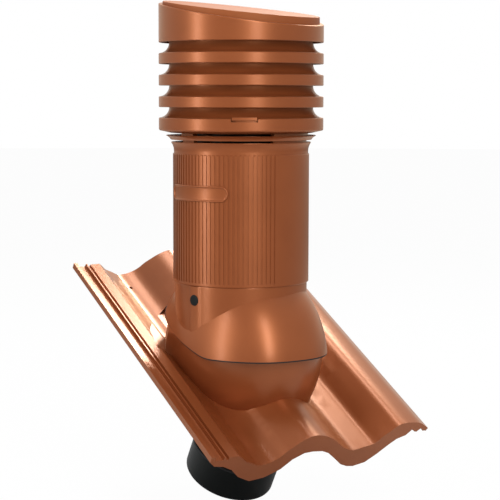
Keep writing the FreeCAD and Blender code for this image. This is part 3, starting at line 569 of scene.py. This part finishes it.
# %% Hood and lid
LOW_SIDE = on_pipe(1.0, 17.0, 0.0) - PIPE_AXIS            # the way the slants fall
LEVEL = (0.0, 0.0)                                        # height on the axis, fall in degrees
HOOD_SLANT, LID_SLANT = (0.6118, 9.43), (0.6182, 7.42)
HOOD_PROFILE = [        # radius, height over the plane, and the plane
    (0.1048, 0.5743, LEVEL), (0.1070, 0.5743, LEVEL), (0.1078, 0.5751, LEVEL), (0.1078, 0.5760, LEVEL),
    (0.1078, -0.0022, HOOD_SLANT), (0.1078, -0.0010, HOOD_SLANT), (0.1075, -0.0003, HOOD_SLANT),
    (0.1068, 0.0, HOOD_SLANT), (0.1060, 0.0, HOOD_SLANT), (0.0990, 0.0, HOOD_SLANT),
    (0.0990, -0.0032, HOOD_SLANT), (0.1048, -0.0032, HOOD_SLANT), (0.1048, 0.5743, LEVEL)]
LID_PROFILE = [
    (0.0300, -0.0004, HOOD_SLANT), (0.1024, -0.0004, HOOD_SLANT), (0.1024, -0.0016, LID_SLANT),
    (0.1024, -0.0009, LID_SLANT), (0.1021, -0.0003, LID_SLANT), (0.1015, 0.0, LID_SLANT),
    (0.1006, 0.0, LID_SLANT), (0.0300, 0.0, LID_SLANT)]


def cap_row(radius, height, plane):
    """A ring of points at a height over a plane."""
    on_axis, fall_deg = plane
    row = [on_pipe(radius, 360 * i / AROUND, height + on_axis) for i in range(AROUND)]
    for point in row:
        point.z -= math.tan(math.radians(fall_deg)) * (point - PIPE_AXIS).xy.dot(LOW_SIDE.xy)
    return row


hood = bmesh.new()
bridge(hood, [cap_row(*place) for place in HOOD_PROFILE], closed=True)
hood_shell = finish_shell("hood_shell", hood, pipe_abs)
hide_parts("cap_hood")

lid = bmesh.new()
lid_rows = bridge(lid, [cap_row(*place) for place in LID_PROFILE], closed=True)
for end in (lid_rows[0], lid_rows[-1]):
    lid.faces.new(end)
lid_cover = finish_shell("lid_cover", lid, lid_abs)
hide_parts("cap_lid")

# %% [markdown]
# ## The lid's screws
# The screws go up into the lid from inside, so they come down with it: the frame's own screws,
# copied about 8 mm lower, so that their tips end inside the lid where it is thinnest.

# %% Lid screws
SCREW_DROP = 0.0082
screw_mesh = nodes["lid_screws"].data.copy()
screw_mesh.transform(Matrix.Translation((0.0, 0.0, -SCREW_DROP)))
lowered_screws = add_object("lowered_screws", screw_mesh)
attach(lowered_screws, "upright_side")
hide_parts("lid_screws")
print("screw faces:", len(screw_mesh.polygons))

# %% [markdown]
# ## The studio's white surround
# The picture is a product shot on white. The world is plain white to the camera and to what the
# surfaces mirror, and a soft grey to everything else, so it fills the shadows without washing
# the colour out.

# %% World
WHITE = (1.0, 1.0, 1.0, 1.0)
FILL_COLOUR, FILL_STRENGTH = (0.95, 0.97, 1.0, 1.0), 0.4
world = bpy.data.worlds.new("white_studio")
bpy.context.scene.world = world
world.use_nodes = True
sky = world.node_tree
sky.nodes.clear()
path = add_node(sky, "ShaderNodeLightPath")
seen_direct = add_node(sky, "ShaderNodeMath", {"operation": "MAXIMUM"},
                       {0: path.outputs["Is Camera Ray"], 1: path.outputs["Is Transmission Ray"]})
seen = add_node(sky, "ShaderNodeMath", {"operation": "MAXIMUM"},
                {0: seen_direct.outputs[0], 1: path.outputs["Is Glossy Ray"]})
fill = add_node(sky, "ShaderNodeBackground", {"Color": FILL_COLOUR, "Strength": FILL_STRENGTH})
white = add_node(sky, "ShaderNodeBackground", {"Color": WHITE, "Strength": 1.0})
surround = add_node(sky, "ShaderNodeMixShader", None,
                    {0: seen.outputs[0], 1: fill.outputs[0], 2: white.outputs[0]})
add_node(sky, "ShaderNodeOutputWorld", None, {"Surface": surround.outputs[0]})
print("world:", world.name)

# %% [markdown]
# ## The lamps
# Four soft boxes light the vent. Two tall ones give the pipe its upright bands of light: one from
# the far left, one from beside the camera. The third stands behind on the right and draws the
# long streaks down the tile's waves. The fourth, overhead, is a wide one for the upper edges.
# Each is placed by azimuth, elevation and distance from the middle of the vent, and faces it.

# %% Lamps
AIM = Vector((0.0, -0.03, 0.33))        # the middle of the vent


def soft_box(name, azimuth_deg, elevation_deg, distance, width, height, watts):
    """A rectangular lamp that faces the middle of the vent."""
    data = bpy.data.lights.new(name, "AREA")
    data.shape = "RECTANGLE"
    data.size, data.size_y = width, height
    data.energy = watts
    lamp = add_object(name, data)
    turn, rise = math.radians(azimuth_deg), math.radians(elevation_deg)
    away = Vector((math.sin(turn) * math.cos(rise), -math.cos(turn) * math.cos(rise), math.sin(rise)))
    lamp.location = AIM + away * distance
    lamp.rotation_euler = (-away).to_track_quat("-Z", "Y").to_euler()
    print(name, "at", [round(v, 2) for v in lamp.location])


soft_box("far_left_box", -94, 14, distance=2.4, width=0.30, height=2.0, watts=30)
soft_box("camera_side_box", -12, 26, distance=2.6, width=0.6, height=2.0, watts=49)
soft_box("back_right_box", 126, 46, distance=2.4, width=0.45, height=0.9, watts=50)
soft_box("overhead_box", 170, 76, distance=2.4, width=1.0, height=1.0, watts=30)

# %% [markdown]
# ## The floor
# A plain pale floor lies just under the duct. To the camera most of its colour is plain white, and
# the rest is lit, so a faint shadow of the duct and tile stays on it.

# %% Floor
FLOOR_LEVEL, FLOOR_RADIUS, FLOOR_SIDES = -0.0400, 14.0, 64
PLAIN_SHARE = 0.97      # how much of what the camera sees of the floor is plain white
disc = bmesh.new()
bmesh.ops.create_circle(disc, cap_ends=True, radius=FLOOR_RADIUS, segments=FLOOR_SIDES)
floor_mesh = bpy.data.meshes.new("floor")
disc.to_mesh(floor_mesh)
disc.free()
floor = add_object("floor", floor_mesh)
floor.location.z = FLOOR_LEVEL

floor_paint, tree = empty_material("matt_white_floor_paint")
path = add_node(tree, "ShaderNodeLightPath")
share = add_node(tree, "ShaderNodeMath", {"operation": "MULTIPLY", 1: PLAIN_SHARE},
                 {0: path.outputs["Is Camera Ray"]})
matt = add_node(tree, "ShaderNodeBsdfDiffuse", {"Color": to_linear("#C4C4C4")})
plain = add_node(tree, "ShaderNodeEmission", {"Color": WHITE, "Strength": 1.0})
seen_floor = add_node(tree, "ShaderNodeMixShader", None,
                      {0: share.outputs[0], 1: matt.outputs[0], 2: plain.outputs[0]})
add_node(tree, "ShaderNodeOutputMaterial", None, {"Surface": seen_floor.outputs[0]})
floor_mesh.materials.append(floor_paint)
print("floor at", round(floor.location.z, 4))

# %% [markdown]
# ## The camera
# Its place and lens were worked out from the picture: the cap's rings are circles of one size at
# known heights, and how flat each looks gives the camera's height and distance, while the tile's
# two long edges give how far it stands to the left. A camera looks down its own -Z, so it is
# rolled about that line first, then tipped up from looking straight down, and last turned about
# the vertical to its azimuth.

# %% Camera
CAMERA_PLACE = (-1.13120, -1.78895, 0.50820)
CAMERA_AZIMUTH, CAMERA_ELEVATION, CAMERA_ROLL = -33.0338, 5.6171, 0.1139     # degrees
SENSOR_MM, LENS_MM = 36.0, 114.53
camera_data = bpy.data.cameras.new("photo_view")
camera_data.sensor_width = SENSOR_MM
camera_data.lens = LENS_MM
camera = add_object("photo_view", camera_data)
camera.matrix_world = (Matrix.Translation(CAMERA_PLACE)
                       @ Matrix.Rotation(math.radians(CAMERA_AZIMUTH), 4, "Z")
                       @ Matrix.Rotation(math.radians(90 - CAMERA_ELEVATION), 4, "X")
                       @ Matrix.Rotation(math.radians(CAMERA_ROLL), 4, "Z"))
bpy.context.scene.camera = camera
bpy.context.scene.view_settings.view_transform = "Standard"
print("camera", [round(v, 3) for v in camera.location], "lens", camera_data.lens)
